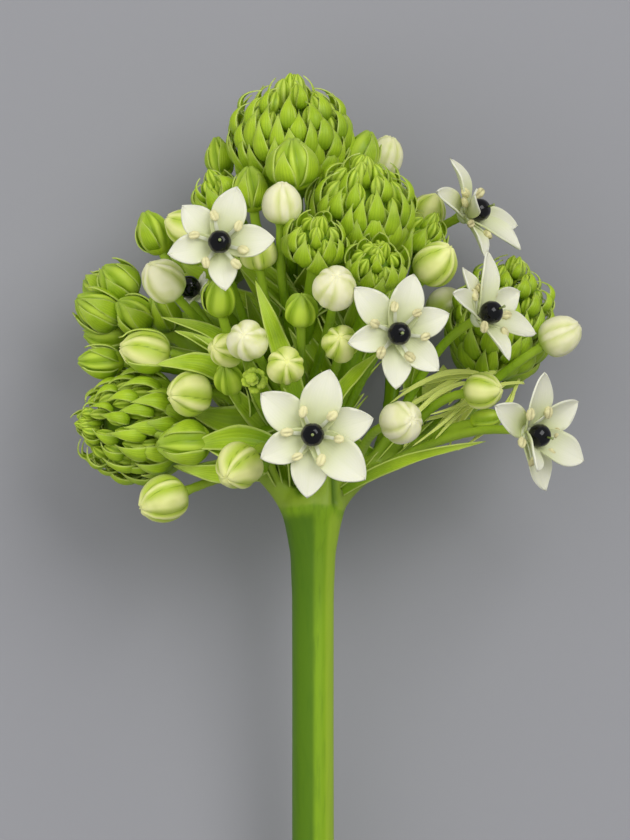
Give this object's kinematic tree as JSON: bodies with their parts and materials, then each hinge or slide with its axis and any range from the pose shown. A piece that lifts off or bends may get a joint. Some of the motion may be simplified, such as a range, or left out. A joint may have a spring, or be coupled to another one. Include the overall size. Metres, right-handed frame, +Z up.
{
  "type": "ornithogalum flower",
  "caption": "Cut flower lying on its back: a smooth green stem that divides into dense green bract heads, ribbed pale buds and white star blooms with glossy black ovaries.",
  "frame": {"origin": "centre of the bounding box's underside, on the surface that the flower lies on", "axes": "+Y along the stem from its cut end towards the top head, +Z up from the surface, towards the side with most of the open blooms, +X to the right of that side"},
  "size_m": [0.1122, 0.2942, 0.0811],
  "materials": {
    "stem_green": "satin",
    "bract_green": "satin",
    "bud_cream": "satin",
    "tepal_white": "satin",
    "ovary_black": "gloss"
  },
  "bodies": {
    "root": {"scape": "stem_green", "head_top": "bract_green", "head_right_front": "bract_green", "head_far_right": "bract_green", "head_low_left": "bract_green", "head_left": "bract_green", "head_back_left": "bract_green", "head_back_right": "bract_green", "head_back_low": "bract_green", "head_right_low": "bract_green", "head_front_mid": "bract_green", "head_front_left": "bract_green", "head_upper_left": "bract_green", "head_cluster": "bract_green", "bud_left_upper": "bud_cream", "bud_top_front": "bud_cream", "bud_centre_cream": "bud_cream", "bud_centre_green": "bud_cream", "bud_centre_low": "bud_cream", "bud_pair_front": "bud_cream", "bud_pair_back": "bud_cream", "bud_ribbed": "bud_cream", "bud_left_mid": "bud_cream", "bud_low_front": "bud_cream", "bud_low_left": "bud_cream", "bud_top_right": "bud_cream", "bud_right_back": "bud_cream", "bud_right_upper": "bud_cream", "bud_far_right": "bud_cream", "bud_right_mid": "bud_cream", "bud_right_front": "bud_cream", "bud_behind_bloom": "bud_cream", "bud_upper_left": "bud_cream", "bud_wrapped": "bud_cream", "bud_back_mid": "bud_cream", "bud_back_right": "bud_cream", "bud_back_top": "bud_cream", "bud_back_left": "bud_cream", "perianth_upper_left": "tepal_white", "perianth_right": "tepal_white", "perianth_centre": "tepal_white", "perianth_far_right_upper": "tepal_white", "perianth_far_right_low": "tepal_white", "perianth_top_right": "tepal_white", "perianth_half_hidden": "tepal_white", "perianth_back_right": "tepal_white", "perianth_back_left": "tepal_white", "ovary_upper_left": "ovary_black", "ovary_right": "ovary_black", "ovary_centre": "ovary_black", "ovary_far_right_upper": "ovary_black", "ovary_far_right_low": "ovary_black", "ovary_top_right": "ovary_black", "ovary_half_hidden": "ovary_black", "ovary_back_right": "ovary_black", "ovary_back_left": "ovary_black"}
  },
  "joints": []
}
